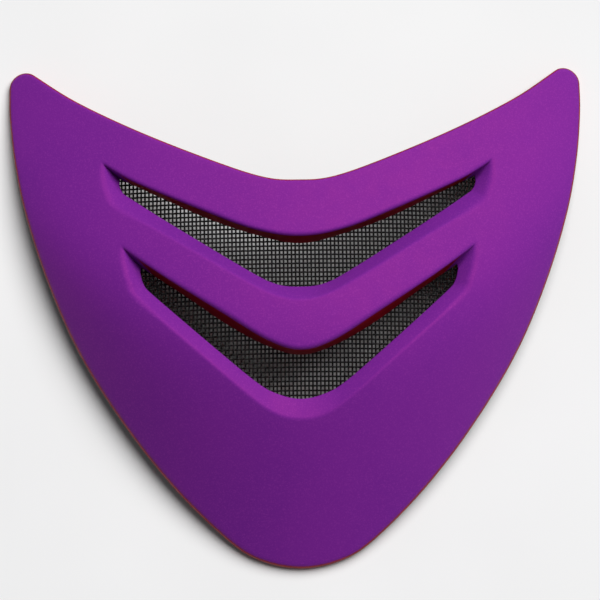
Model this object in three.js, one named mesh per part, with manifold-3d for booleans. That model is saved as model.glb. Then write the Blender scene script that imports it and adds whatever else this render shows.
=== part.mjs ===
// Chin vent cover of a motocross helmet: a thin domed shield with two swept vent slots,
// each closed by a woven wire mesh that a screwed frame clamps from behind.
// Millimetres. The cover lies on its back: +X across it, +Y to its upper edge, +Z out of its face.
import * as THREE from "three";
import { mergeVertices } from "three/addons/utils/BufferGeometryUtils.js";
import Module from "manifold-3d";

const wasm = await Module();
wasm.setup();

// The face is a dome: an arc of CROSS_RADIUS across, folded along a soft ridge that sweeps up to
// both sides. It falls a little above the ridge and steeply below it, and it stands on its two
// tips and its chin.
const CROSS_RADIUS = 118;
const RIDGE_Y = -12;
const RIDGE_SWEEP = 0.0085;
const RIDGE_WIDTH = 12;
const FALL_ABOVE = 0.17;
const FALL_BELOW = 0.5576;
const FACET_SLACK = 0.12;

const GRID = 6;
const CURVE_STEPS = 2;
const BELOW_ALL = -100;
const ABOVE_ALL = 40;
const GAP = 0.3;
const OVERCUT = 3;

// Depths are measured down from the face.
const WALL = 2.2;
const SCOOP_DEPTH = 3.2;
const UPPER_WALL_DEPTH = 4.6;
const COLLAR_DEPTH = 4.7;
const MESH_DEPTH = COLLAR_DEPTH + GAP;
const MESH_THICKNESS = 0.4;
const FRAME_DEPTH = MESH_DEPTH + MESH_THICKNESS + GAP;
const FRAME_THICKNESS = 1.3;
const SEAL_DEPTH = WALL + GAP;
const SEAL_THICKNESS = 1.8;

// Widths outside the slot's edge.
const COLLAR_MARGIN = 3.4;
const MESH_MARGIN = 2.2;
const FRAME_MARGIN = 3.4;
const FRAME_SETBACK = 0.5;

const SCREW_OFFSET = 3.7;
const SCREW_PAD_RADIUS = 3.2;
const SCREW_HEAD_RADIUS = 1.9;
const SCREW_HEAD_HEIGHT = 1.3;
const SCREW_RADIUS = 1.0;
const SCREW_LENGTH = 3.8;

const BOSS_RADIUS = 4.3;
const BOSS_END_Z = 4;
const INSERT_RADIUS = 2.8;
const INSERT_BORE_RADIUS = 1.65;
const INSERT_LENGTH = 4.2;
const BOSSES = { left: [-50, 22.8], right: [50, 22.8], bottom: [0, -39.2] };

const RIB_THICKNESS = 1.4;
const RIB_DROP = 2.6;
const RIBS = [
  [[47, 21.8], [40, 19.6]],
  [[48, 19.5], [40.2, 13.3]],
  [[2.4, -36.6], [15, -23.7]],
];
const SEAL_WIDTH = 4;
const SEAL_INSET = 1.4;

// Right half of the outline: the side from the tip down to the chin, and the upper edge.
const TIP = { x: 61.9, y: 53.6, radius: 3.6 };
const SIDE = [
  [65.5, 53.6], [65.4, 46.8], [64.2, 35.8], [61.5, 22.8], [56.3, 6.8], [49.2, -9.2],
  [39.2, -25.2], [28.2, -39.2], [16.5, -50.7], [9, -55.3], [0, -57],
];
const UPPER_EDGE = [[0, 29], [8, 29.8], [20, 34.2], [36, 41.5], [50, 49.3], [59.8, 56.5]];

// Each vent is a scoop that narrows from its mouth in the face to its slot. Right halves,
// point for point: the upper edge out to the tip, and the lower edge back from it.
const VENTS = {
  upper: {
    mouthTop: [[0, 16], [10, 17.6], [22, 22.5], [36.6, 29.3], [44, 34]],
    mouthBottom: [[43.9, 30.4], [43, 27.2], [40.7, 23.6], [29.4, 16.5], [12, 5.6], [5, 2.1], [0, 1.2]],
    slotTop: [[0, 14.8], [10, 17], [21, 21.2], [34, 27.8], [40.2, 31]],
    slotBottom: [[40.3, 29.4], [39.6, 27.7], [37.6, 26], [27.6, 19], [12, 8.8], [5.4, 5.3], [0, 4.6]],
    screws: [[0, 14.8], [20, 21], [40.3, 30.2], [0, 4.6]],
  },
  lower: {
    mouthTop: [[0, -9.9], [7.5, -7.6], [18, -0.8], [30, 7.1], [39.7, 14.3]],
    mouthBottom: [[39.6, 11.4], [38.4, 6.8], [36.2, 2.4], [23.5, -9.3], [11, -20.2], [5, -24], [0, -24.9]],
    slotTop: [[0, -10.6], [7.5, -8.5], [16.5, -3.4], [26, 3.5], [35.5, 10.2]],
    slotBottom: [[35.7, 9], [34.9, 6.1], [32.6, 3.4], [20.5, -7.6], [10, -16.5], [4.9, -19.3], [0, -20.3]],
    screws: [[0, -10.6], [21, -7.2], [35.7, 9.6], [0, -20.3]],
  },
};

const FINISHES = {
  purple: { color: 0x6f2687, roughness: 0.55, metalness: 0 },
  wire: { color: 0x1c1c1e, roughness: 0.45, metalness: 0.6 },
  nylon: { color: 0x161617, roughness: 0.6, metalness: 0 },
  steel: { color: 0xa8abae, roughness: 0.3, metalness: 1 },
  brass: { color: 0xb08d45, roughness: 0.35, metalness: 1 },
  foam: { color: 0x202022, roughness: 0.95, metalness: 0 },
};

// --- the face -------------------------------------------------------------------------------

function faceFall(x, y) {
  const across = CROSS_RADIUS - Math.sqrt(CROSS_RADIUS ** 2 - x ** 2);
  const pastRidge = y - RIDGE_Y - RIDGE_SWEEP * x ** 2;
  const bend = Math.hypot(pastRidge, RIDGE_WIDTH) - RIDGE_WIDTH;
  return across + (FALL_BELOW * (bend - pastRidge) + FALL_ABOVE * (bend + pastRidge)) / 2;
}

const RIDGE_HEIGHT = faceFall(TIP.x + TIP.radius + FACET_SLACK, TIP.y) + WALL;

function faceHeight(x, y) {
  return RIDGE_HEIGHT - faceFall(x, y);
}

function faceNormal(x, y) {
  const step = 0.01;
  const slopeX = (faceHeight(x + step, y) - faceHeight(x - step, y)) / (2 * step);
  const slopeY = (faceHeight(x, y + step) - faceHeight(x, y - step)) / (2 * step);
  return new THREE.Vector3(-slopeX, -slopeY, 1).normalize();
}

// --- closed outlines in plan ----------------------------------------------------------------

function curve(points) {
  const knots = points.map(([x, y]) => new THREE.Vector2(x, y));
  return new THREE.SplineCurve(knots).getPoints(CURVE_STEPS * (points.length - 1));
}

// A right half that starts and ends on the centre line, closed by its mirror image.
function mirrored(half) {
  const left = half.slice(1, -1).map((p) => new THREE.Vector2(-p.x, p.y)).reverse();
  return anticlockwise([...half, ...left]);
}

function anticlockwise(ring) {
  return THREE.ShapeUtils.area(ring) < 0 ? ring.slice().reverse() : ring;
}

function coverOutline() {
  const tip = new THREE.EllipseCurve(TIP.x, TIP.y, TIP.radius, TIP.radius, 0, Math.PI * 0.7);
  const side = curve(SIDE).reverse();
  const edge = curve(UPPER_EDGE).reverse();
  return mirrored([...side, ...tip.getPoints(6).slice(1, -1), ...edge]);
}

function ventRing(top, bottom) {
  return mirrored([...curve(top), ...curve(bottom)]);
}

function offset(ring, distance) {
  const maxMitre = 1.4;
  return ring.map((point, i) => {
    const before = ring[(i + ring.length - 1) % ring.length];
    const after = ring[(i + 1) % ring.length];
    const inward = point.clone().sub(before).normalize();
    const outward = after.clone().sub(point).normalize();
    const tangent = inward.clone().add(outward).normalize();
    const mitre = Math.min(maxMitre, 1 / Math.max(tangent.dot(outward), 0.1));
    return new THREE.Vector2(tangent.y, -tangent.x).multiplyScalar(distance * mitre).add(point);
  });
}

// --- solids ---------------------------------------------------------------------------------

function solid(geometry) {
  const bare = geometry.clone();
  bare.deleteAttribute("normal");
  bare.deleteAttribute("uv");
  const merged = mergeVertices(bare, 1e-4);
  return new wasm.Manifold(new wasm.Mesh({
    numProp: 3,
    vertProperties: Float32Array.from(merged.attributes.position.array),
    triVerts: Uint32Array.from(merged.index.array),
  }));
}

function prism(ring, bottom = BELOW_ALL, top = ABOVE_ALL) {
  const shape = new THREE.Shape(ring);
  const geometry = new THREE.ExtrudeGeometry(shape, { depth: top - bottom, bevelEnabled: false });
  return solid(geometry.translate(0, 0, bottom));
}

// Everything lower than a depth under the face, over the box of a plan outline and a spare border
// of cells. All of these share one grid, so that neighbours facet alike.
function ground(ring, depth, spareCells = 0) {
  const box = new THREE.Box2().setFromPoints(ring);
  const low = box.min.clone().divideScalar(GRID).floor().subScalar(spareCells).multiplyScalar(GRID);
  const high = box.max.clone().divideScalar(GRID).ceil().addScalar(spareCells).multiplyScalar(GRID);
  const size = high.clone().sub(low);
  const geometry = new THREE.BoxGeometry(size.x, size.y, 1, size.x / GRID, size.y / GRID, 1);
  geometry.translate((low.x + high.x) / 2, (low.y + high.y) / 2, 0);
  const position = geometry.attributes.position;
  for (let i = 0; i < position.count; i += 1) {
    const surface = faceHeight(position.getX(i), position.getY(i)) - depth;
    position.setZ(i, position.getZ(i) > 0 ? surface : BELOW_ALL);
  }
  return solid(geometry);
}

// A sheet that follows the face between two depths, trimmed to a plan outline.
function sheet(ring, topDepth, bottomDepth) {
  const slab = ground(ring, topDepth).subtract(ground(ring, bottomDepth, 1));
  return slab.intersect(prism(ring));
}

// The cutter of one vent: straight above its mouth, drawn in to the slot, straight below it.
function scoop(vent) {
  const mouth = [...curve(vent.mouthTop), ...curve(vent.mouthBottom)];
  const slot = [...curve(vent.slotTop), ...curve(vent.slotBottom)];
  const upperCount = curve(vent.slotTop).length;
  const throat = (p, i) => faceHeight(p.x, p.y) - (i < upperCount ? UPPER_WALL_DEPTH : SCOOP_DEPTH);
  return loft([
    level(slot, () => BELOW_ALL),
    level(slot, throat),
    level(mouth, (p) => faceHeight(p.x, p.y)),
    level(mouth, () => ABOVE_ALL),
  ]);
}

// A right half lifted to its heights and closed by its mirror image, anticlockwise from above.
function level(half, heightAt) {
  const right = half.map((p, i) => new THREE.Vector3(p.x, p.y, heightAt(p, i)));
  const left = right.slice(1, -1).map((p) => new THREE.Vector3(-p.x, p.y, p.z)).reverse();
  return [...right, ...left].reverse();
}

// Rings of equal length, listed upwards and anticlockwise from above, skinned into one solid.
function loft(rings) {
  const count = rings[0].length;
  const triangles = [];
  for (let level = 0; level < rings.length - 1; level += 1) {
    for (let i = 0; i < count; i += 1) {
      const a = level * count + i;
      const b = level * count + (i + 1) % count;
      triangles.push(a, b, b + count, a, b + count, a + count);
    }
  }
  const cap = THREE.ShapeUtils.triangulateShape(rings[0].map((p) => new THREE.Vector2(p.x, p.y)), []);
  const lid = (rings.length - 1) * count;
  const top = THREE.ShapeUtils.triangulateShape(rings.at(-1).map((p) => new THREE.Vector2(p.x, p.y)), []);
  for (const [a, b, c] of cap) triangles.push(a, c, b);
  for (const [a, b, c] of top) triangles.push(lid + a, lid + b, lid + c);
  const geometry = new THREE.BufferGeometry();
  geometry.setAttribute("position", new THREE.Float32BufferAttribute(
    rings.flat().flatMap((p) => [p.x, p.y, p.z]), 3));
  geometry.setIndex(triangles);
  return solid(geometry);
}

function rod(x, y, radius, bottom, top, sides = 20) {
  const geometry = new THREE.CylinderGeometry(radius, radius, top - bottom, sides);
  geometry.rotateX(Math.PI / 2).translate(x, y, (top + bottom) / 2);
  return solid(geometry);
}

// --- the screws that hold the mesh frames -----------------------------------------------------

// The nearest point of the slot's edge, moved out by the screw offset, on both halves.
function screwPlaces(vent) {
  const ring = ventRing(vent.slotTop, vent.slotBottom);
  const outer = offset(ring, SCREW_OFFSET);
  const places = [];
  for (const [x, y] of vent.screws) {
    const target = new THREE.Vector2(x, y);
    let nearest = 0;
    ring.forEach((p, i) => {
      if (p.distanceTo(target) < ring[nearest].distanceTo(target)) nearest = i;
    });
    const place = outer[nearest];
    if (x === 0) places.push(new THREE.Vector2(0, place.y));
    else places.push(new THREE.Vector2(-place.x, place.y), place);
  }
  return places;
}

// A frame whose +Z is square to the face, whose axis goes through a place at the mesh's depth,
// and whose origin is on the face.
function atFace(place) {
  const normal = faceNormal(place.x, place.y);
  const turn = new THREE.Quaternion().setFromUnitVectors(new THREE.Vector3(0, 0, 1), normal);
  const origin = new THREE.Vector3(place.x, place.y, faceHeight(place.x, place.y) - MESH_DEPTH);
  origin.addScaledVector(normal, MESH_DEPTH * normal.z);
  return new THREE.Matrix4().compose(origin, turn, new THREE.Vector3(1, 1, 1));
}

function squareRod(place, radius, topDepth, bottomDepth, sides = 12) {
  const geometry = new THREE.CylinderGeometry(radius, radius, bottomDepth - topDepth, sides);
  geometry.rotateX(Math.PI / 2).translate(0, 0, -(topDepth + bottomDepth) / 2);
  return solid(geometry.applyMatrix4(atFace(place)));
}

function screwSeatDepth(place) {
  return (FRAME_DEPTH + FRAME_THICKNESS) * faceNormal(place.x, place.y).z;
}

function frameScrew() {
  const profile = [
    [0, SCREW_LENGTH], [SCREW_RADIUS * 0.6, SCREW_LENGTH], [SCREW_RADIUS, SCREW_LENGTH - 0.5],
    [SCREW_RADIUS, 0], [SCREW_HEAD_RADIUS, 0], [SCREW_HEAD_RADIUS, -SCREW_HEAD_HEIGHT * 0.55],
    [SCREW_HEAD_RADIUS * 0.7, -SCREW_HEAD_HEIGHT * 0.92], [0, -SCREW_HEAD_HEIGHT],
  ];
  const points = profile.map(([r, z]) => new THREE.Vector2(r, z)).reverse();
  return new THREE.LatheGeometry(points, 10).rotateX(Math.PI / 2);
}

// --- the pieces -----------------------------------------------------------------------------

function withPads(ring, vent, topDepth, bottomDepth) {
  let body = sheet(ring, topDepth, bottomDepth);
  for (const place of screwPlaces(vent)) {
    const pad = new THREE.EllipseCurve(place.x, place.y, SCREW_PAD_RADIUS, SCREW_PAD_RADIUS);
    body = body.add(sheet(pad.getPoints(14).slice(1), topDepth, bottomDepth));
  }
  return body;
}

function boss([x, y]) {
  const bar = rod(x, y, BOSS_RADIUS, BOSS_END_Z, ABOVE_ALL);
  return bar.intersect(ground(coverOutline(), WALL / 2));
}

// A straight stiffening rib under the wall, from one plan point to another.
function rib(from, to) {
  const start = new THREE.Vector2(...from);
  const along = new THREE.Vector2(...to).sub(start).normalize();
  const side = new THREE.Vector2(-along.y, along.x).multiplyScalar(RIB_THICKNESS / 2);
  const end = new THREE.Vector2(...to);
  const ring = [
    start.clone().sub(side), end.clone().sub(side), end.clone().add(side), start.clone().add(side),
  ];
  return sheet(anticlockwise(ring), WALL / 2, WALL + RIB_DROP);
}

function ventCover() {
  let body = sheet(coverOutline(), 0, WALL);
  for (const place of Object.values(BOSSES)) body = body.add(boss(place));
  for (const [from, to] of RIBS) {
    body = body.add(rib(from, to));
    body = body.add(rib([-from[0], from[1]], [-to[0], to[1]]));
  }
  for (const vent of Object.values(VENTS)) {
    const ring = offset(ventRing(vent.slotTop, vent.slotBottom), COLLAR_MARGIN);
    body = body.add(withPads(ring, vent, WALL / 2, COLLAR_DEPTH));
  }
  for (const vent of Object.values(VENTS)) {
    body = body.subtract(scoop(vent));
    for (const place of screwPlaces(vent)) {
      const tip = screwSeatDepth(place) - SCREW_LENGTH;
      body = body.subtract(squareRod(place, SCREW_RADIUS + GAP, tip - GAP, COLLAR_DEPTH + OVERCUT));
    }
  }
  for (const [x, y] of Object.values(BOSSES)) {
    const roof = BOSS_END_Z + INSERT_LENGTH + GAP;
    body = body.subtract(rod(x, y, INSERT_RADIUS + GAP, BOSS_END_Z - OVERCUT, roof));
  }
  return body;
}

function ventMesh(vent) {
  const slot = ventRing(vent.slotTop, vent.slotBottom);
  return sheet(offset(slot, MESH_MARGIN), MESH_DEPTH, MESH_DEPTH + MESH_THICKNESS);
}

function meshFrame(vent) {
  const slot = ventRing(vent.slotTop, vent.slotBottom);
  const bottom = FRAME_DEPTH + FRAME_THICKNESS;
  let body = withPads(offset(slot, FRAME_MARGIN), vent, FRAME_DEPTH, bottom);
  body = body.subtract(prism(offset(slot, FRAME_SETBACK)));
  for (const place of screwPlaces(vent)) {
    body = body.subtract(squareRod(place, SCREW_RADIUS + GAP, 0, bottom + OVERCUT));
    const seat = screwSeatDepth(place);
    body = body.subtract(squareRod(place, SCREW_HEAD_RADIUS + GAP, seat - GAP, seat + OVERCUT));
  }
  return body;
}

function threadedInsert() {
  const groove = 0.35;
  const profile = [
    [INSERT_BORE_RADIUS, 0], [INSERT_RADIUS, 0], [INSERT_RADIUS, INSERT_LENGTH * 0.4],
    [INSERT_RADIUS - groove, INSERT_LENGTH * 0.45], [INSERT_RADIUS - groove, INSERT_LENGTH * 0.55],
    [INSERT_RADIUS, INSERT_LENGTH * 0.6], [INSERT_RADIUS, INSERT_LENGTH],
    [INSERT_BORE_RADIUS, INSERT_LENGTH], [INSERT_BORE_RADIUS, 0],
  ];
  return new THREE.LatheGeometry(profile.map(([r, z]) => new THREE.Vector2(r, z)), 16).rotateX(Math.PI / 2);
}

// A foam strip that runs along a stretch of the outline, set in from it.
function foamSeal(stretch) {
  const outer = offsetOpen(stretch, SEAL_INSET);
  const inner = offsetOpen(stretch, SEAL_INSET + SEAL_WIDTH);
  const ring = anticlockwise([...outer, ...inner.reverse()]);
  return sheet(ring, SEAL_DEPTH, SEAL_DEPTH + SEAL_THICKNESS);
}

function offsetOpen(points, distance) {
  return points.map((point, i) => {
    const before = points[Math.max(i - 1, 0)];
    const after = points[Math.min(i + 1, points.length - 1)];
    const tangent = after.clone().sub(before).normalize();
    return new THREE.Vector2(tangent.y, -tangent.x).multiplyScalar(distance).add(point);
  });
}

function sideStretch(mirror) {
  const highest = 37;
  const lowest = -41;
  const side = curve(SIDE).filter((p) => p.y < highest && p.y > lowest);
  const points = side.map((p) => new THREE.Vector2(mirror * p.x, p.y));
  return mirror > 0 ? points : points.reverse();
}

function upperStretch() {
  const reach = 46;
  const right = curve(UPPER_EDGE).filter((p) => p.x < reach);
  const left = right.slice(1).map((p) => new THREE.Vector2(-p.x, p.y)).reverse();
  return [...left, ...right];
}

// --- the assembly ---------------------------------------------------------------------------

const cover = new THREE.Group();

function add(name, geometry, finish) {
  const mesh = new THREE.Mesh(geometry, new THREE.MeshStandardMaterial(FINISHES[finish]));
  mesh.name = name;
  cover.add(mesh);
  return mesh;
}

function geometryOf(body) {
  const mesh = body.getMesh();
  const geometry = new THREE.BufferGeometry();
  geometry.setAttribute("position", new THREE.Float32BufferAttribute(mesh.vertProperties, 3));
  geometry.setIndex(new THREE.Uint32BufferAttribute(mesh.triVerts, 1));
  return geometry;
}

add("vent_cover", geometryOf(ventCover()), "purple");
for (const [name, vent] of Object.entries(VENTS)) {
  add(`${name}_mesh`, geometryOf(ventMesh(vent)), "wire");
  add(`${name}_mesh_frame`, geometryOf(meshFrame(vent)), "nylon");
  screwPlaces(vent).forEach((place, i) => {
    const screw = add(`${name}_frame_screw_${i + 1}`, frameScrew(), "steel");
    screw.applyMatrix4(atFace(place));
    screw.translateZ(-screwSeatDepth(place));
  });
}
for (const [name, [x, y]] of Object.entries(BOSSES)) {
  add(`insert_${name}`, threadedInsert(), "brass").position.set(x, y, BOSS_END_Z);
}
add("side_seal_left", geometryOf(foamSeal(sideStretch(-1))), "foam");
add("side_seal_right", geometryOf(foamSeal(sideStretch(1))), "foam");
add("upper_seal", geometryOf(foamSeal(upperStretch())), "foam");

export default cover;
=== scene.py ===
"""Looks of a motocross helmet's chin vent cover: a matte purple shield with two wire-backed vents.

Shapes are worked out in millimetres in the part's own frame, and built in metres.
A place on a piece is written (x, y, depth), where depth is measured down from the domed face.
"""
import math
import random

import bmesh
import bpy
import numpy as np
from mathutils import Matrix, Vector, geometry, noise


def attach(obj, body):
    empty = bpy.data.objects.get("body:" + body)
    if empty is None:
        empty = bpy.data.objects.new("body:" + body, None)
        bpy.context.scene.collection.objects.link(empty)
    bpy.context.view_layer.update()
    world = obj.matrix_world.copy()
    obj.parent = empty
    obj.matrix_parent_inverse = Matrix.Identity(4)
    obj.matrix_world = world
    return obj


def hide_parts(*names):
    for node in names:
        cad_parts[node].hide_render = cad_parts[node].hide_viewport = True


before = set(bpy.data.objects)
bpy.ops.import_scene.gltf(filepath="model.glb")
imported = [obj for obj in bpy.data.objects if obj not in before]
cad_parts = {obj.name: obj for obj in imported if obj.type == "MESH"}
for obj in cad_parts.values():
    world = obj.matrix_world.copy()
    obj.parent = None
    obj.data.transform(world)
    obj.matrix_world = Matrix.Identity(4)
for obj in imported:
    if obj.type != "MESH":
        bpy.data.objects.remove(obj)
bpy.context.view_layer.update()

random.seed(7)

MM = 0.001

# --- the design, as in the CAD model, apart from the foam, which lies closer to the wall --------

CROSS_RADIUS = 118
RIDGE_Y = -12
RIDGE_SWEEP = 0.0085
RIDGE_WIDTH = 12
FALL_ABOVE = 0.17
FALL_BELOW = 0.5576
FACET_SLACK = 0.12

WALL = 2.2
SCOOP_DEPTH = 3.2
UPPER_WALL_DEPTH = 4.6
COLLAR_DEPTH = 4.7
MESH_MIDDLE_DEPTH = 5.2
FRAME_DEPTH = 5.7
FRAME_THICKNESS = 1.3
SEAL_DEPTH = 2.3
SEAL_THICKNESS = 1.9

COLLAR_MARGIN = 3.4
MESH_MARGIN = 2.2
FRAME_SETBACK = 0.5
SCREW_OFFSET = 3.7
SCREW_PAD_RADIUS = 3.2

BOSS_RADIUS = 4.3
BOSS_END_Z = 4
INSERT_RADIUS = 2.8
INSERT_BORE_RADIUS = 1.65
INSERT_LENGTH = 4.2
BOSSES = {"left": (-50, 22.8), "right": (50, 22.8), "bottom": (0, -39.2)}
RIBS = [((47, 21.8), (40, 19.6)), ((48, 19.5), (40.2, 13.3)), ((2.4, -36.6), (15, -23.7))]

SEAL_WIDTH = 4
SEAL_INSET = 1.4

TIP_X, TIP_Y, TIP_RADIUS = 61.9, 53.6, 3.6
TIP_ARC_START = 0.7 * math.pi
SIDE = [(65.5, 53.6), (65.4, 46.8), (64.2, 35.8), (61.5, 22.8), (56.3, 6.8), (49.2, -9.2),
        (39.2, -25.2), (28.2, -39.2), (16.5, -50.7), (9, -55.3), (0, -57)]
UPPER_EDGE = [(0, 29), (8, 29.8), (20, 34.2), (36, 41.5), (50, 49.3), (59.8, 56.5)]

VENTS = {
    "upper": {
        "mouth_top": [(0, 16), (10, 17.6), (22, 22.5), (36.6, 29.3), (44, 34)],
        "mouth_bottom": [(43.9, 30.4), (43, 27.2), (40.7, 23.6), (29.4, 16.5), (12, 5.6),
                         (5, 2.1), (0, 1.2)],
        "slot_top": [(0, 14.8), (10, 17), (21, 21.2), (34, 27.8), (40.2, 31)],
        "slot_bottom": [(40.3, 29.4), (39.6, 27.7), (37.6, 26), (27.6, 19), (12, 8.8),
                        (5.4, 5.3), (0, 4.6)],
        "screws": [(0, 14.8), (20, 21), (40.3, 30.2), (0, 4.6)],
    },
    "lower": {
        "mouth_top": [(0, -9.9), (7.5, -7.6), (18, -0.8), (30, 7.1), (39.7, 14.3)],
        "mouth_bottom": [(39.6, 11.4), (38.4, 6.8), (36.2, 2.4), (23.5, -9.3), (11, -20.2),
                         (5, -24), (0, -24.9)],
        "slot_top": [(0, -10.6), (7.5, -8.5), (16.5, -3.4), (26, 3.5), (35.5, 10.2)],
        "slot_bottom": [(35.7, 9), (34.9, 6.1), (32.6, 3.4), (20.5, -7.6), (10, -16.5),
                        (4.9, -19.3), (0, -20.3)],
        "screws": [(0, -10.6), (21, -7.2), (35.7, 9.6), (0, -20.3)],
    },
}


def face_fall(x, y):
    across = CROSS_RADIUS - np.sqrt(CROSS_RADIUS ** 2 - np.square(x))
    past_ridge = y - RIDGE_Y - RIDGE_SWEEP * np.square(x)
    bend = np.hypot(past_ridge, RIDGE_WIDTH) - RIDGE_WIDTH
    return across + (FALL_BELOW * (bend - past_ridge) + FALL_ABOVE * (bend + past_ridge)) / 2


RIDGE_HEIGHT = float(face_fall(TIP_X + TIP_RADIUS + FACET_SLACK, TIP_Y)) + WALL


def face_height(x, y):
    return RIDGE_HEIGHT - face_fall(x, y)


def face_normal(x, y):
    step = 0.01
    slope_x = float(face_height(x + step, y) - face_height(x - step, y)) / (2 * step)
    slope_y = float(face_height(x, y + step) - face_height(x, y - step)) / (2 * step)
    return Vector((-slope_x, -slope_y, 1)).normalized()


def lift(points):
    """(x, y, depth) rows to (x, y, z) rows."""
    points = np.asarray(points, float)
    z = face_height(points[..., 0], points[..., 1]) - points[..., 2]
    return np.stack([points[..., 0], points[..., 1], z], axis=-1)


# --- curves and rings in plan -----------------------------------------------------------------

OUTLINE_SPACING = 0.8
VENT_SPACING = 0.7


def spline(points, steps, mirror_start=False, mirror_end=False):
    """A Catmull-Rom curve with steps[i] samples on span i. A mirrored end meets x = 0 squarely."""
    knots = [np.array(p, float) for p in points]
    flip = np.array([-1.0, 1.0])
    before = knots[1] * flip if mirror_start else knots[0]
    after = knots[-2] * flip if mirror_end else knots[-1]
    padded = [before, *knots, after]
    rows = []
    for i, count in enumerate(steps):
        p0, p1, p2, p3 = padded[i:i + 4]
        for t in np.arange(count) / count:
            rows.append(0.5 * (2 * p1 + (p2 - p0) * t + (2 * p0 - 5 * p1 + 4 * p2 - p3) * t ** 2
                               + (3 * p1 - p0 - 3 * p2 + p3) * t ** 3))
    rows.append(knots[-1])
    return np.array(rows)


def unit_circle(sides):
    angles = np.arange(sides) * 2 * math.pi / sides
    return np.stack([np.cos(angles), np.sin(angles)], axis=1)


def span_steps(points, spacing):
    lengths = np.linalg.norm(np.diff(np.array(points, float), axis=0), axis=1)
    return [max(2, int(math.ceil(length / spacing))) for length in lengths]


def mirrored(half):
    """Closes a right half that runs down from x = 0 to x = 0, anticlockwise from above."""
    left = half[1:-1][::-1].copy()
    left[:, 0] *= -1
    return np.concatenate([half, left])[::-1]


def ring_normals(ring):
    """Outward unit normals of an anticlockwise ring."""
    ahead = np.roll(ring, -1, axis=0) - ring
    behind = ring - np.roll(ring, 1, axis=0)
    ahead /= np.linalg.norm(ahead, axis=1, keepdims=True)
    behind /= np.linalg.norm(behind, axis=1, keepdims=True)
    tangent = ahead + behind
    tangent /= np.linalg.norm(tangent, axis=1, keepdims=True)
    return np.stack([tangent[:, 1], -tangent[:, 0]], axis=1)


def smooth_normals(ring, passes):
    normals = ring_normals(ring)
    for _ in range(passes):
        normals = normals + 0.5 * (np.roll(normals, 1, axis=0) + np.roll(normals, -1, axis=0))
        normals /= np.linalg.norm(normals, axis=1, keepdims=True)
    return normals


def inside(points, ring):
    """Which points lie inside a closed ring."""
    x, y = points[:, 0], points[:, 1]
    result = np.zeros(len(points), bool)
    for (x1, y1), (x2, y2) in zip(ring, np.roll(ring, -1, axis=0)):
        if y1 == y2:
            continue
        crosses = (y1 > y) != (y2 > y)
        result ^= crosses & (x < (x2 - x1) * (y - y1) / (y2 - y1) + x1)
    return result


def clearance(points, ring):
    """Distance from each point to the nearest ring vertex."""
    result = np.full(len(points), 1e9)
    for vertex in ring:
        result = np.minimum(result, np.linalg.norm(points - vertex, axis=1))
    return result


def side_curve():
    """The right side, from the tip down to the chin."""
    return spline(SIDE, span_steps(SIDE, OUTLINE_SPACING), mirror_end=True)


def upper_curve():
    """The right half of the upper edge, from the middle out to the tip."""
    return spline(UPPER_EDGE, span_steps(UPPER_EDGE, OUTLINE_SPACING), mirror_start=True)


def cover_outline():
    angles = np.linspace(TIP_ARC_START, 0, 12)[1:-1]
    tip = np.stack([TIP_X + TIP_RADIUS * np.cos(angles), TIP_Y + TIP_RADIUS * np.sin(angles)], axis=1)
    return mirrored(np.concatenate([upper_curve(), tip, side_curve()]))


class Vent:
    """One vent's matching rings: its mouth in the face and its slot.

    wall is 1 along the upper edge, where the scoop is a steep wall, and 0 along the lower slope.
    """

    END_STEPS = 5
    SMOOTHING_PASSES = 6

    def __init__(self, design):
        top_steps = span_steps(design["mouth_top"], VENT_SPACING)
        bottom_steps = span_steps(design["mouth_bottom"], VENT_SPACING)
        self.mouth = self.ring(design["mouth_top"], design["mouth_bottom"], top_steps, bottom_steps)
        self.slot = self.ring(design["slot_top"], design["slot_bottom"], top_steps, bottom_steps)
        top, bottom = np.ones(sum(top_steps) + 1), np.zeros(sum(bottom_steps) + 1)
        wall = np.concatenate([top, np.linspace(1, 0, self.END_STEPS + 2)[1:-1], bottom])
        self.wall = np.concatenate([wall, wall[1:-1][::-1]])[::-1]
        self.slot_normals = smooth_normals(self.slot, self.SMOOTHING_PASSES)
        self.mouth_normals = smooth_normals(self.mouth, self.SMOOTHING_PASSES)
        self.screws = self.screw_places(design["screws"])

    def ring(self, top, bottom, top_steps, bottom_steps):
        upper = spline(top, top_steps, mirror_start=True)
        lower = spline(bottom, bottom_steps, mirror_end=True)
        ramp = np.linspace(0, 1, self.END_STEPS + 2)[1:-1, None]
        end = upper[-1] * (1 - ramp) + lower[0] * ramp
        return mirrored(np.concatenate([upper, end, lower]))

    def screw_places(self, marks):
        """Points SCREW_OFFSET outside the slot's edge, nearest the marks, on both halves."""
        normals = ring_normals(self.slot)
        places = []
        for mark in marks:
            nearest = int(np.argmin(np.linalg.norm(self.slot - np.array(mark), axis=1)))
            x, y = self.slot[nearest] + SCREW_OFFSET * normals[nearest]
            places += [(0, y)] if mark[0] == 0 else [(-x, y), (x, y)]
        return places

    def margin(self, plain):
        """How far a rim goes out from the slot at each ring place: a plain band with screw pads."""
        result = np.full(len(self.slot), float(plain))
        for place in self.screws:
            offset = np.array(place) - self.slot
            along = np.sum(offset * self.slot_normals, axis=1)
            square = SCREW_PAD_RADIUS ** 2 - np.sum(offset * offset, axis=1) + along ** 2
            exits = along + np.sqrt(np.maximum(square, 0))
            result = np.where((square > 0) & (along > 0), np.maximum(result, exits), result)
        return result


# --- mesh building ----------------------------------------------------------------------------

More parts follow.
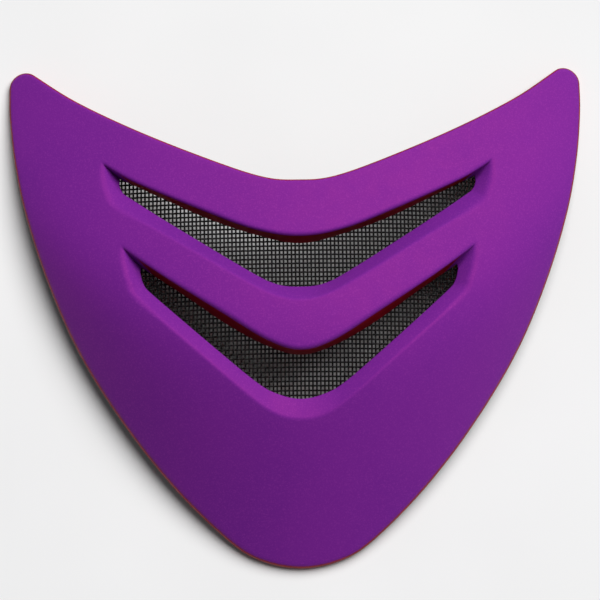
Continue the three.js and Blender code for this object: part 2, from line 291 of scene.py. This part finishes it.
class Builder:
    """Collects vertices in millimetres, faces, and how much paint each vertex has."""

    def __init__(self):
        self.vertices = []
        self.faces = []
        self.paint = []

    def add_ring(self, points, paint=0.0):
        start = len(self.vertices)
        self.vertices.extend(map(tuple, points))
        self.paint.extend(np.broadcast_to(paint, len(points)).tolist())
        return list(range(start, start + len(points)))

    def bridge(self, low, high):
        """Quads between two closed rings of equal length."""
        count = len(low)
        for i in range(count):
            j = (i + 1) % count
            self.faces.append((low[i], low[j], high[j], high[i]))

    def levels(self, rings, paints):
        """A skin through rings of points, one paint value or row of values for each."""
        indices = [self.add_ring(ring, paint) for ring, paint in zip(rings, paints)]
        for low, high in zip(indices, indices[1:]):
            self.bridge(low, high)
        return indices

    def cap(self, ring):
        self.faces.append(tuple(ring))

    def fill(self, outer, holes, height_at, spacing, paint):
        """Triangles between boundary rings that already exist, on a fine inner grid."""
        xy = np.array(self.vertices)[:, :2]
        outer_ring = xy[outer]
        low, high = outer_ring.min(axis=0), outer_ring.max(axis=0)
        row_spacing = spacing * 0.87
        least_clearance = spacing * 0.7
        rows = np.arange(low[1], high[1], row_spacing)
        columns = np.arange(low[0], high[0], spacing)
        grid = np.array([(x + (i % 2) * spacing / 2, y) for i, y in enumerate(rows) for x in columns])
        keep = inside(grid, outer_ring) & (clearance(grid, outer_ring) > least_clearance)
        for hole in holes:
            keep &= ~inside(grid, xy[hole]) & (clearance(grid, xy[hole]) > least_clearance)
        grid = grid[keep]
        boundary = [outer, *holes]
        known = [i for ring in boundary for i in ring]
        edges = []
        start = 0
        for ring in boundary:
            count = len(ring)
            edges += [(start + i, start + (i + 1) % count) for i in range(count)]
            start += count
        new = self.add_ring(height_at(grid), paint)
        index = np.array(known + new)
        places = np.concatenate([xy[known], grid])
        _, _, faces, sources, _, _ = geometry.delaunay_2d_cdt(
            [Vector(p) for p in places.tolist()], edges, [], 0, 1e-5)
        triangles = np.array([[sources[v][0] for v in face] for face in faces])
        centres = places[triangles].mean(axis=1)
        wanted = inside(centres, outer_ring)
        for hole in holes:
            wanted &= ~inside(centres, xy[hole])
        for a, b, c in index[triangles[wanted]]:
            self.faces.append((int(a), int(b), int(c)))

    def build(self, name, material, node):
        mesh = bpy.data.meshes.new(name)
        mesh.from_pydata([tuple(c * MM for c in v) for v in self.vertices], [], self.faces)
        if any(self.paint):
            layer = mesh.attributes.new("paint", "FLOAT", "POINT")
            layer.data.foreach_set("value", self.paint)
        return finish_piece(name, mesh, material, node)


def face_outwards(mesh):
    work = bmesh.new()
    work.from_mesh(mesh)
    bmesh.ops.recalc_face_normals(work, faces=work.faces)
    work.to_mesh(mesh)
    work.free()


def finish_piece(name, mesh, material, node):
    mesh.validate()
    face_outwards(mesh)
    mesh.shade_smooth()
    mesh.materials.append(material)
    piece = bpy.data.objects.new(name, mesh)
    bpy.context.scene.collection.objects.link(piece)
    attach(piece, "root")
    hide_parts(node)
    return piece


def rounded(corners, radii, samples):
    """Rows of a section whose inner corners are rounded. corners[i] holds one point per ring place."""
    rows = [corners[0]]
    for before, corner, after, radius, count in zip(corners, corners[1:], corners[2:], radii, samples):
        radius = np.broadcast_to(radius, len(corner))[:, None]
        rows_in = corner + (before - corner) * fraction(before, corner, radius)
        rows_out = corner + (after - corner) * fraction(after, corner, radius)
        for t in np.linspace(0, 1, count):
            rows.append((1 - t) ** 2 * rows_in + 2 * t * (1 - t) * corner + t ** 2 * rows_out)
    rows.append(corners[-1])
    return rows


def fraction(neighbour, corner, radius):
    """How far along a section's edge its rounding starts, as a share of the edge."""
    just_under_half = 0.48
    length = np.linalg.norm(neighbour - corner, axis=1, keepdims=True)
    return np.minimum(radius / np.maximum(length, 1e-6), just_under_half)


def at_depth(ring, depth):
    """A plan ring as (x, y, depth) rows. depth is one number or one for each place."""
    return np.column_stack([ring, np.broadcast_to(depth, len(ring))])


# --- the cover --------------------------------------------------------------------------------

def rim(builder, outline):
    """The rounded edge, from the face round to the underside. Gives its first and last rings."""
    normals = ring_normals(outline)
    face_inset, under_inset = 2.1, 1.2
    corners = [
        at_depth(outline - face_inset * normals, 0), at_depth(outline, 0),
        at_depth(outline, WALL), at_depth(outline - under_inset * normals, WALL),
    ]
    edge_fillet, under_fillet = 1.0, 0.3
    rows = rounded(corners, [edge_fillet, under_fillet], [9, 5])
    fading = [1.0, 1.0, 1.0, 0.85, 0.62, 0.4, 0.2]
    paints = fading + [0.0] * (len(rows) - len(fading))
    rings = builder.levels([lift(row) for row in reversed(rows)], list(reversed(paints)))
    return rings[-1], rings[0]


# How near a vent's end its whole wall is purple, how near it the lower lip is softer, and how far
# from the middle the purple reaches lower on the upper wall, where the red band stands for shade.
PURPLE_WALL_END = 3.5
SOFT_END = 9
SHADE_NARROWS_OVER = 12

BROW_FILLET, LIP_FILLET, END_LIP_FILLET = 1.0, 0.6, 1.6
SLOT_FILLET, UNDER_FILLET, COLLAR_FILLET = 0.3, 0.15, 0.4
SLOT_LIP = 0.2


def vent_walls(builder, vent):
    """From the face down the scoop, through the slot and out round the collar to the underside."""
    ease_in = 2.2
    drop = SCOOP_DEPTH + (UPPER_WALL_DEPTH - SCOOP_DEPTH) * vent.wall
    collar = vent.slot + vent.slot_normals * vent.margin(COLLAR_MARGIN)[:, None]
    corners = [
        at_depth(vent.mouth + ease_in * vent.mouth_normals, 0), at_depth(vent.mouth, 0),
        at_depth(vent.slot, drop), at_depth(vent.slot, COLLAR_DEPTH + SLOT_LIP),
        at_depth(collar, COLLAR_DEPTH), at_depth(collar, WALL),
    ]
    across = np.abs(vent.mouth[:, 0])
    near_end = np.clip((across - across.max()) / SOFT_END + 1, 0, 1)
    lip = LIP_FILLET + (END_LIP_FILLET - LIP_FILLET) * near_end
    mouth_fillet = lip + (BROW_FILLET - lip) * vent.wall
    rows = rounded(corners, [mouth_fillet, SLOT_FILLET, UNDER_FILLET, COLLAR_FILLET], [9, 5, 3, 5])
    # Away from the ends the upper wall gets paint 0 and turns red: a red that stands for shade there.
    past_end = np.abs(vent.slot[:, 0]) - (vent.slot[:, 0].max() - PURPLE_WALL_END)
    purple_not_shade = np.clip(np.maximum(1 - vent.wall, past_end), 0, 1)
    shade_narrowing = np.clip(across / SHADE_NARROWS_OVER, 0, 1)
    mouth = [1.0] * 8 + [np.maximum(purple_not_shade, 0.5 + 0.45 * shade_narrowing)]
    slot = [purple_not_shade] * 4 + [purple_not_shade * 0.5]
    underside = [0.0] * (len(rows) - len(mouth) - len(slot))
    rings = builder.levels([lift(row) for row in rows], mouth + slot + underside)
    return rings[0], rings[-1]


def boss_walls(builder, centre):
    """One screw boss with the blind hole that holds its insert. Gives its ring on the underside."""
    sides = 48
    circle = unit_circle(sides)

    def ring(radius, height=None):
        xy = np.array(centre) + radius * circle
        under = face_height(xy[:, 0], xy[:, 1]) - WALL
        return np.column_stack([xy, under if height is None else np.full(sides, float(height))])

    flare, draft, clearance_round, clearance_above = 1.2, 0.1, 0.06, 0.2
    bore = INSERT_RADIUS + clearance_round
    corners = [
        ring(BOSS_RADIUS + flare), ring(BOSS_RADIUS), ring(BOSS_RADIUS - draft, BOSS_END_Z),
        ring(bore, BOSS_END_Z), ring(bore, BOSS_END_Z + INSERT_LENGTH + clearance_above),
    ]
    rows = rounded(corners, [0.7, 0.25, 0.2], [5, 4, 3])
    rings = builder.levels(rows, [0.0] * len(rows))
    builder.cap(rings[-1])
    return rings[0]


def rib_block(builder, start, end):
    """A stiffening rib with a rounded lower edge, let into the underside."""
    start, end = np.array(start, float), np.array(end, float)
    along = (end - start) / np.linalg.norm(end - start)
    across = np.array([-along[1], along[0]])
    half, drop, steps = 0.7, 2.6, 14
    right = [(half + 0.25, -0.4), (half, 0.25), (half - 0.1, drop - 0.4), (half - 0.45, drop)]
    section = right + [(-u, d) for u, d in reversed(right)]
    rows = []
    for t in np.linspace(0, 1, steps):
        place = start + (end - start) * t
        rows.append(lift([(*(place + across * u), WALL + d) for u, d in section]))
    rings = builder.levels(rows, [0.0] * steps)
    builder.cap(rings[0])
    builder.cap(rings[-1])


def vent_cover(vents, material):
    builder = Builder()
    face_edge, under_edge = rim(builder, cover_outline())
    mouths, collars = zip(*[vent_walls(builder, vent) for vent in vents.values()])
    bosses = [boss_walls(builder, centre) for centre in BOSSES.values()]
    builder.fill(face_edge, mouths, lambda p: lift(at_depth(p, 0)), spacing=1.3, paint=1.0)
    builder.fill(under_edge, [*collars, *bosses], lambda p: lift(at_depth(p, WALL)), spacing=1.6,
                 paint=0.0)
    for (x1, y1), (x2, y2) in RIBS:
        rib_block(builder, (x1, y1), (x2, y2))
        rib_block(builder, (-x1, y1), (-x2, y2))
    return builder.build("cover_shell", material, "vent_cover")


# --- woven wire -------------------------------------------------------------------------------

WIRE_RADIUS = 0.2
WIRE_SIDES = 6
PITCH_X = 0.885
PITCH_Y = 1.02
TOUCH = 0.98
WANDER = 0.02
SAMPLES_PER_CELL = 4


def crossings(ring, value, axis):
    """Where a line of constant coordinate crosses a closed ring, in order along the other axis."""
    other = 1 - axis
    found = []
    for a, b in zip(ring, np.roll(ring, -1, axis=0)):
        if (a[axis] > value) != (b[axis] > value):
            t = (value - a[axis]) / (b[axis] - a[axis])
            found.append(a[other] + t * (b[other] - a[other]))
    return sorted(found)


def wire_tube(builder, centres):
    """A round wire along a path, closed by flat cut ends."""
    ahead = np.gradient(centres, axis=0)
    ahead /= np.linalg.norm(ahead, axis=1, keepdims=True)
    up = np.array([0, 0, 1.0]) - ahead * ahead[:, 2:]
    up /= np.linalg.norm(up, axis=1, keepdims=True)
    side = np.cross(ahead, up)
    rings = []
    for k in range(WIRE_SIDES):
        angle = 2 * math.pi * k / WIRE_SIDES
        rings.append(centres + WIRE_RADIUS * (math.cos(angle) * side + math.sin(angle) * up))
    sections = np.stack(rings, axis=1)
    indices = [builder.add_ring(section) for section in sections]
    for low, high in zip(indices, indices[1:]):
        builder.bridge(low, high)
    builder.cap(indices[0])
    builder.cap(indices[-1])


def weave(builder, ring, axis):
    """All wires of one direction inside a ring, at even steps along an axis.

    Each passes over and under the wires that it crosses, and wanders a little sideways.
    """
    other = 1 - axis
    pitch, cross_pitch = (PITCH_X, PITCH_Y) if axis == 0 else (PITCH_Y, PITCH_X)
    first = math.ceil(ring[:, axis].min() / pitch)
    last = math.floor(ring[:, axis].max() / pitch)
    for number in range(first, last + 1):
        value = number * pitch
        hits = crossings(ring, value, axis)
        for start, end in zip(hits[::2], hits[1::2]):
            if end - start < 2 * cross_pitch:
                continue
            count = int((end - start) / cross_pitch * SAMPLES_PER_CELL)
            along = np.linspace(start, end, count)
            phase = math.pi * (along / cross_pitch + number + axis)
            wander = WANDER * math.sin(number * 2.4) * np.sin(along * 0.21 + number)
            path = np.zeros((count, 3))
            path[:, other] = along
            path[:, axis] = value + wander
            path[:, 2] = MESH_MIDDLE_DEPTH - WIRE_RADIUS * TOUCH * np.cos(phase)
            wire_tube(builder, lift(path))


def wire_mesh(name, vent, material):
    builder = Builder()
    ring = vent.slot + MESH_MARGIN * vent.slot_normals
    weave(builder, ring, axis=0)
    weave(builder, ring, axis=1)
    return builder.build(f"{name}_wire_cloth", material, f"{name}_mesh")


# --- the pieces behind the mesh ---------------------------------------------------------------

def mesh_frame(name, vent, material):
    """The clamping frame: a band with screw pads and a raised lip round its opening."""
    lip_height, lip_slope, lip_width = 0.5, 0.5, 1.6
    builder = Builder()
    inner = vent.slot + FRAME_SETBACK * vent.slot_normals
    outer = vent.slot + vent.slot_normals * vent.margin(COLLAR_MARGIN)[:, None]
    middle = vent.slot + vent.slot_normals * lip_width
    bottom = FRAME_DEPTH + FRAME_THICKNESS
    corners = [
        at_depth(middle, FRAME_DEPTH), at_depth(inner, FRAME_DEPTH),
        at_depth(inner, bottom + lip_height), at_depth(middle, bottom + lip_height),
        at_depth(middle + lip_slope * vent.slot_normals, bottom), at_depth(outer, bottom),
        at_depth(outer, FRAME_DEPTH), at_depth(middle, FRAME_DEPTH),
    ]
    rows = rounded(corners, [0.2, 0.25, 0.25, 0.2, 0.35, 0.2], [3, 4, 4, 3, 5, 3])[:-1]
    rings = [builder.add_ring(lift(row)) for row in rows]
    for low, high in zip(rings, rings[1:] + rings[:1]):
        builder.bridge(low, high)
    return builder.build(f"{name}_clamp_frame", material, f"{name}_mesh_frame")


def screw_mesh():
    """A pan-head screw, its shank along +Z from the seat at z = 0, with a cross recess in its head."""
    sides, cross_width, cross_reach, recess_depth = 48, 0.42, 1.15, 0.8
    builder = Builder()
    circle = unit_circle(sides)
    off_arm = np.maximum(np.minimum(np.abs(circle[:, 0]), np.abs(circle[:, 1])), 1e-3)
    arms = np.clip(cross_width / 2 / off_arm, 0.3, cross_reach)

    def ring(radius, height):
        xy = circle * (radius if np.isscalar(radius) else radius[:, None])
        return builder.add_ring(np.column_stack([xy, np.full(sides, height)]))

    crest, root, crown = 0.98, 0.74, -1.2
    head = [(1.0, 0), (1.86, 0), (1.9, -0.08), (1.9, -0.55), (1.84, -0.8), (1.66, -1.02),
            (1.38, -1.16), (1.25, crown)]
    rings = [ring(radius, height) for radius, height in head]
    rings.append(ring(arms + 0.04, crown - 0.04))
    rings.append(ring(arms, crown))
    rings.append(ring(arms * 0.62, crown + recess_depth))
    thread = [ring(crest, 0)]
    for i, height in enumerate(np.arange(0.2, 3.2, 0.2)):
        thread.append(ring(crest if i % 2 else root, height))
    thread += [ring(0.7, 3.4), ring(0.15, 3.75)]
    for low, high in [*zip(rings, rings[1:]), *zip(thread, thread[1:]), (rings[0], thread[0])]:
        builder.bridge(low, high)
    builder.cap(rings[-1])
    builder.cap(thread[-1])
    mesh = bpy.data.meshes.new("frame_screw")
    mesh.from_pydata([tuple(c * MM for c in v) for v in builder.vertices], [], builder.faces)
    return mesh


def frame_screws(name, vent, master, material):
    """Copies of the master screw, square to the face, seated on the underside of a frame."""
    for i, (x, y) in enumerate(vent.screws):
        normal = face_normal(x, y)
        through = Vector((x, y, float(face_height(x, y)) - MESH_MIDDLE_DEPTH))
        below_mesh = FRAME_DEPTH + FRAME_THICKNESS - MESH_MIDDLE_DEPTH
        seat = through - below_mesh * normal.z * normal
        turn = Vector((0, 0, 1)).rotation_difference(normal).to_matrix().to_4x4()
        spin = Matrix.Rotation(random.uniform(0, math.pi), 4, "Z")
        mesh = master.copy()
        mesh.transform(Matrix.Translation(seat * MM) @ turn @ spin)
        finish_piece(f"{name}_pan_screw_{i + 1}", mesh, material,
                     f"{name}_frame_screw_{i + 1}")


def threaded_insert(name, centre, material):
    """A brass insert: knurled outside, chamfered mouth, threaded bore."""
    sides = 64
    builder = Builder()
    circle = unit_circle(sides)
    knurl_depth = 0.02
    knurl = 1 - knurl_depth * (np.arange(sides) % 2)

    def ring(radius, height):
        radii = np.broadcast_to(radius, sides)[:, None]
        return np.column_stack([np.array(centre) + circle * radii, np.full(sides, BOSS_END_Z + height)])

    bore, out = INSERT_BORE_RADIUS, INSERT_RADIUS
    rows = [ring(bore + 0.35, 0), ring(out - 0.2, 0), ring(out, 0.15), ring(out * knurl, 0.2),
            ring(out * knurl, 1.8), ring(out - 0.35, 1.95), ring(out - 0.35, 2.25),
            ring(out * knurl, 2.4), ring(out * knurl, INSERT_LENGTH), ring(bore, INSERT_LENGTH)]
    pitch, thread_depth = 0.35, 0.22
    heights = np.arange(INSERT_LENGTH - 0.1, 0.4, -pitch / 2)
    for i, height in enumerate(heights):
        rows.append(ring(bore + (thread_depth if i % 2 == 0 else 0), height))
    rings = [builder.add_ring(row) for row in rows]
    for low, high in zip(rings, rings[1:] + rings[:1]):
        builder.bridge(low, high)
    return builder.build(f"{name}_threaded_insert", material, f"insert_{name}")


def foam_strip(name, stretch, material, node):
    """A self-adhesive foam strip along a stretch of the outline, slightly uneven like cut foam."""
    stretch = np.array(stretch)
    tangent = np.gradient(stretch, axis=0)
    tangent /= np.linalg.norm(tangent, axis=1, keepdims=True)
    inward = np.stack([-tangent[:, 1], tangent[:, 0]], axis=1)
    section = [(0, 0), (0.02, 0.5), (0, 1), (0.12, 1), (0.5, 1.02), (0.88, 1), (1, 1), (0.98, 0.5),
               (1, 0), (0.5, 0)]
    unevenness, edge_rounding = 0.12, 0.22
    builder = Builder()
    rings = []
    for place, side in zip(stretch, inward):
        row = []
        for u, d in section:
            xy = place + side * (SEAL_INSET + u * SEAL_WIDTH)
            wobble = noise.noise(Vector((xy[0] * 0.9, xy[1] * 0.9, d * 3.0))) * unevenness
            round_off = edge_rounding * (abs(2 * u - 1) ** 8) * d
            depth = SEAL_DEPTH + d * (SEAL_THICKNESS - round_off + wobble)
            row.append((*(xy + side * wobble * d), depth))
        rings.append(builder.add_ring(lift(row)))
    for low, high in zip(rings, rings[1:]):
        builder.bridge(low, high)
    builder.cap(rings[0])
    builder.cap(rings[-1])
    piece = builder.build(name, material, node)
    return piece


def side_stretch(sign):
    """The stretch of one side that carries foam. The right side has sign 1, the left side -1."""
    highest, lowest = 36, -40
    side = side_curve()
    part = side[(side[:, 1] < highest) & (side[:, 1] > lowest)][::-1]
    return part if sign > 0 else (part * (-1, 1))[::-1]


def upper_stretch():
    """The middle stretch of the upper edge, which carries foam."""
    reach = 45
    edge = upper_curve()
    right = edge[edge[:, 0] < reach]
    left = (right[1:] * (-1, 1))[::-1]
    return np.concatenate([left, right])[::-1]


# --- materials --------------------------------------------------------------------------------

def srgb(red, green, blue):
    """A display colour, 0 to 255, as the linear colour that a shader takes."""
    def linear(value):
        value /= 255
        return value / 12.92 if value <= 0.04045 else ((value + 0.055) / 1.055) ** 2.4
    return (linear(red), linear(green), linear(blue), 1)


class Shader:
    """A material's node tree, with a Principled shader and the object's own coordinates."""

    def __init__(self, name, roughness, metallic=0.0, specular=0.5):
        self.material = bpy.data.materials.new(name)
        self.material.use_nodes = True
        self.nodes = self.material.node_tree.nodes
        self.links = self.material.node_tree.links
        self.surface = self.nodes["Principled BSDF"]
        self.surface.inputs["Roughness"].default_value = roughness
        self.surface.inputs["Metallic"].default_value = metallic
        self.surface.inputs["Specular IOR Level"].default_value = specular
        self.place = self.nodes.new("ShaderNodeTexCoord").outputs["Object"]

    def link(self, output, socket):
        self.links.new(output, socket)

    def noise(self, size_mm, detail, stretch=None):
        node = self.nodes.new("ShaderNodeTexNoise")
        node.inputs["Scale"].default_value = 1 / (size_mm * MM)
        node.inputs["Detail"].default_value = detail
        place = self.place
        if stretch:
            mapping = self.nodes.new("ShaderNodeMapping")
            mapping.inputs["Scale"].default_value = stretch
            self.link(place, mapping.inputs["Vector"])
            place = mapping.outputs["Vector"]
        self.link(place, node.inputs["Vector"])
        return node.outputs["Fac"]

    def pores(self, size_mm):
        node = self.nodes.new("ShaderNodeTexVoronoi")
        node.inputs["Scale"].default_value = 1 / (size_mm * MM)
        self.link(self.place, node.inputs["Vector"])
        return node.outputs["Distance"]

    def ramp(self, value, low, high, out_low=0.0, out_high=1.0):
        """A smooth step from out_low to out_high as the value goes from low to high."""
        node = self.nodes.new("ShaderNodeMapRange")
        node.interpolation_type = "SMOOTHSTEP"
        limits = {"From Min": low, "From Max": high, "To Min": out_low, "To Max": out_high}
        for name, number in limits.items():
            node.inputs[name].default_value = number
        self.link(value, node.inputs["Value"])
        return node.outputs["Result"]

    def blend(self, factor, first, second):
        node = self.nodes.new("ShaderNodeMix")
        node.data_type = "RGBA"
        self.link(factor, node.inputs["Factor"])
        for socket, source in ((node.inputs["A"], first), (node.inputs["B"], second)):
            if isinstance(source, tuple):
                socket.default_value = source
            else:
                self.link(source, socket)
        return node.outputs["Result"]

    def sum(self, first, second):
        node = self.nodes.new("ShaderNodeMath")
        node.operation = "ADD"
        self.link(first, node.inputs[0])
        self.link(second, node.inputs[1])
        return node.outputs["Value"]

    def bump(self, height, distance_mm, strength=1.0, below=None):
        node = self.nodes.new("ShaderNodeBump")
        node.inputs["Distance"].default_value = distance_mm * MM
        node.inputs["Strength"].default_value = strength
        self.link(height, node.inputs["Height"])
        if below:
            self.link(below, node.inputs["Normal"])
        return node.outputs["Normal"]

    def colour(self, source):
        self.link(source, self.surface.inputs["Base Color"])

    def roughness(self, source):
        self.link(source, self.surface.inputs["Roughness"])

    def normal(self, source):
        self.link(source, self.surface.inputs["Normal"])


def painted_plastic():
    """Purple soft-touch paint over dark red plastic; the red on the vents' upper walls stands for
    shade.
    """
    s = Shader("purple_pearl_paint", 0.6, specular=0.6)
    s.surface.inputs["Specular Tint"].default_value = (1, 0.09, 0.15, 1)
    attribute = s.nodes.new("ShaderNodeAttribute")
    attribute.attribute_name = "paint"
    grain = s.noise(0.35, 2)
    ragged = s.sum(attribute.outputs["Fac"], s.ramp(grain, 0.3, 0.7, -0.08, 0.08))
    coat = s.ramp(ragged, 0.42, 0.72)
    cloud = s.ramp(s.noise(26, 2), 0.3, 0.7)
    purple = s.blend(cloud, srgb(113, 35, 148), srgb(118, 36, 150))
    fleck = s.ramp(s.noise(0.34, 2), 0.46, 0.74)
    purple = s.blend(fleck, purple, srgb(131, 45, 157))
    # Red: bare plastic on the edge and the underside, and shade put into the colour on the upper walls.
    red = s.blend(s.ramp(s.noise(3, 3), 0.35, 0.65), srgb(130, 1, 14), srgb(146, 3, 22))
    s.colour(s.blend(coat, red, purple))
    rough_paint = s.ramp(s.noise(4, 4), 0.3, 0.7, 0.58, 0.63)
    s.roughness(s.sum(rough_paint, s.ramp(coat, 0, 1, -0.12, 0)))
    peel = s.bump(s.noise(0.9, 2), 0.012)
    s.normal(s.bump(s.noise(0.3, 2), 0.008, below=peel))
    return s.material


def black_wire():
    s = Shader("black_wire", 0.42, specular=0.25)
    s.colour(s.blend(s.ramp(s.noise(0.8, 3), 0.35, 0.7), srgb(9, 9, 10), srgb(24, 23, 22)))
    s.roughness(s.ramp(s.noise(0.4, 3), 0.3, 0.7, 0.34, 0.55))
    s.normal(s.bump(s.noise(0.12, 2), 0.01))
    return s.material


def black_nylon():
    s = Shader("black_nylon", 0.55)
    s.colour(s.blend(s.ramp(s.noise(2.5, 4), 0.35, 0.7), srgb(24, 24, 25), srgb(38, 38, 39)))
    s.roughness(s.ramp(s.noise(1.2, 3), 0.3, 0.7, 0.45, 0.65))
    s.normal(s.bump(s.noise(0.16, 3), 0.02))
    return s.material


def zinc_steel():
    s = Shader("zinc_steel", 0.3, metallic=1.0)
    s.colour(s.blend(s.ramp(s.noise(0.5, 4), 0.35, 0.7), srgb(176, 178, 180), srgb(202, 203, 200)))
    s.roughness(s.ramp(s.noise(0.25, 4), 0.3, 0.7, 0.22, 0.42))
    s.normal(s.bump(s.noise(0.1, 2, stretch=(1, 6, 1)), 0.004))
    return s.material


def dull_brass():
    s = Shader("dull_brass", 0.35, metallic=1.0)
    s.colour(s.blend(s.ramp(s.noise(0.9, 4), 0.35, 0.7), srgb(176, 140, 74), srgb(206, 172, 102)))
    s.roughness(s.ramp(s.noise(0.5, 4), 0.3, 0.7, 0.28, 0.5))
    s.normal(s.bump(s.noise(0.12, 2, stretch=(1, 1, 8)), 0.006))
    return s.material


def seal_foam():
    s = Shader("seal_foam", 0.95, specular=0.2)
    pores = s.pores(0.45)
    s.colour(s.blend(s.ramp(pores, 0.1, 0.6), srgb(30, 30, 32), srgb(58, 58, 60)))
    s.normal(s.bump(s.ramp(pores, 0.0, 0.5), 0.12, 0.8))
    return s.material


def white_board():
    s = Shader("white_board", 0.6, specular=0.3)
    s.colour(s.blend(s.ramp(s.noise(60, 2), 0.3, 0.7), srgb(243, 243, 243), srgb(246, 246, 246)))
    return s.material


# --- stage, light and camera ------------------------------------------------------------------

def add_floor():
    half = 1.5
    mesh = bpy.data.meshes.new("floor")
    mesh.from_pydata([(-half, -half, 0), (half, -half, 0), (half, half, 0), (-half, half, 0)], [],
                     [(0, 1, 2, 3)])
    mesh.materials.append(white_board())
    floor = bpy.data.objects.new("floor", mesh)
    bpy.context.scene.collection.objects.link(floor)


def add_key_light():
    """A wide round softbox, up beyond the right shoulder of the cover, aimed at the origin."""
    light = bpy.data.lights.new("key", "AREA")
    light.shape = "DISK"
    light.size = 3.7
    light.energy = 201
    lamp = bpy.data.objects.new("key", light)
    lamp.location = (1.22, 1.84, 3.32)
    lamp.rotation_euler = (-lamp.location).to_track_quat("-Z", "Y").to_euler()
    bpy.context.scene.collection.objects.link(lamp)


def add_world():
    world = bpy.data.worlds.new("studio")
    world.use_nodes = True
    background = world.node_tree.nodes["Background"]
    background.inputs["Color"].default_value = (0.95, 0.96, 1, 1)
    background.inputs["Strength"].default_value = 0.085
    bpy.context.scene.world = world


def add_camera():
    """A long lens above the cover, leaning a little towards its chin and its left."""
    distance, view_width = 0.9, 0.1354
    middle, shift_right, shift_up = Vector((0, -0.0012, 0.010)), 0.00014, 0.00416
    lean_down, lean_left, roll = map(math.radians, (8.0, 1.488, -0.853))
    back = Vector((-math.sin(lean_left), -math.sin(lean_down), 0))
    back.z = math.sqrt(1 - back.length_squared)
    right = Vector((0, 1, 0)).cross(back).normalized()
    up = back.cross(right)
    right, up = (math.cos(roll) * right + math.sin(roll) * up,
                 math.cos(roll) * up - math.sin(roll) * right)
    aim = middle + right * shift_right + up * shift_up
    place = aim + back * distance
    camera = bpy.data.cameras.new("camera")
    camera.sensor_width = 36
    camera.lens = camera.sensor_width * distance / view_width
    camera.clip_end = 10
    viewer = bpy.data.objects.new("camera", camera)
    viewer.matrix_world = Matrix((
        (right.x, up.x, back.x, place.x), (right.y, up.y, back.y, place.y),
        (right.z, up.z, back.z, place.z), (0, 0, 0, 1)))
    bpy.context.scene.collection.objects.link(viewer)
    bpy.context.scene.camera = viewer


# --- everything together ----------------------------------------------------------------------

add_camera()
add_world()
add_key_light()
add_floor()
bpy.context.scene.view_settings.view_transform = "Standard"

vents = {name: Vent(design) for name, design in VENTS.items()}
wire, nylon, steel = black_wire(), black_nylon(), zinc_steel()
master_screw = screw_mesh()
vent_cover(vents, painted_plastic())
for name, vent in vents.items():
    wire_mesh(name, vent, wire)
    mesh_frame(name, vent, nylon)
    frame_screws(name, vent, master_screw, steel)
brass = dull_brass()
for name, centre in BOSSES.items():
    threaded_insert(name, centre, brass)
foam = seal_foam()
foam_strip("left_foam_strip", side_stretch(-1), foam, "side_seal_left")
foam_strip("right_foam_strip", side_stretch(1), foam, "side_seal_right")
foam_strip("upper_foam_strip", upper_stretch(), foam, "upper_seal")
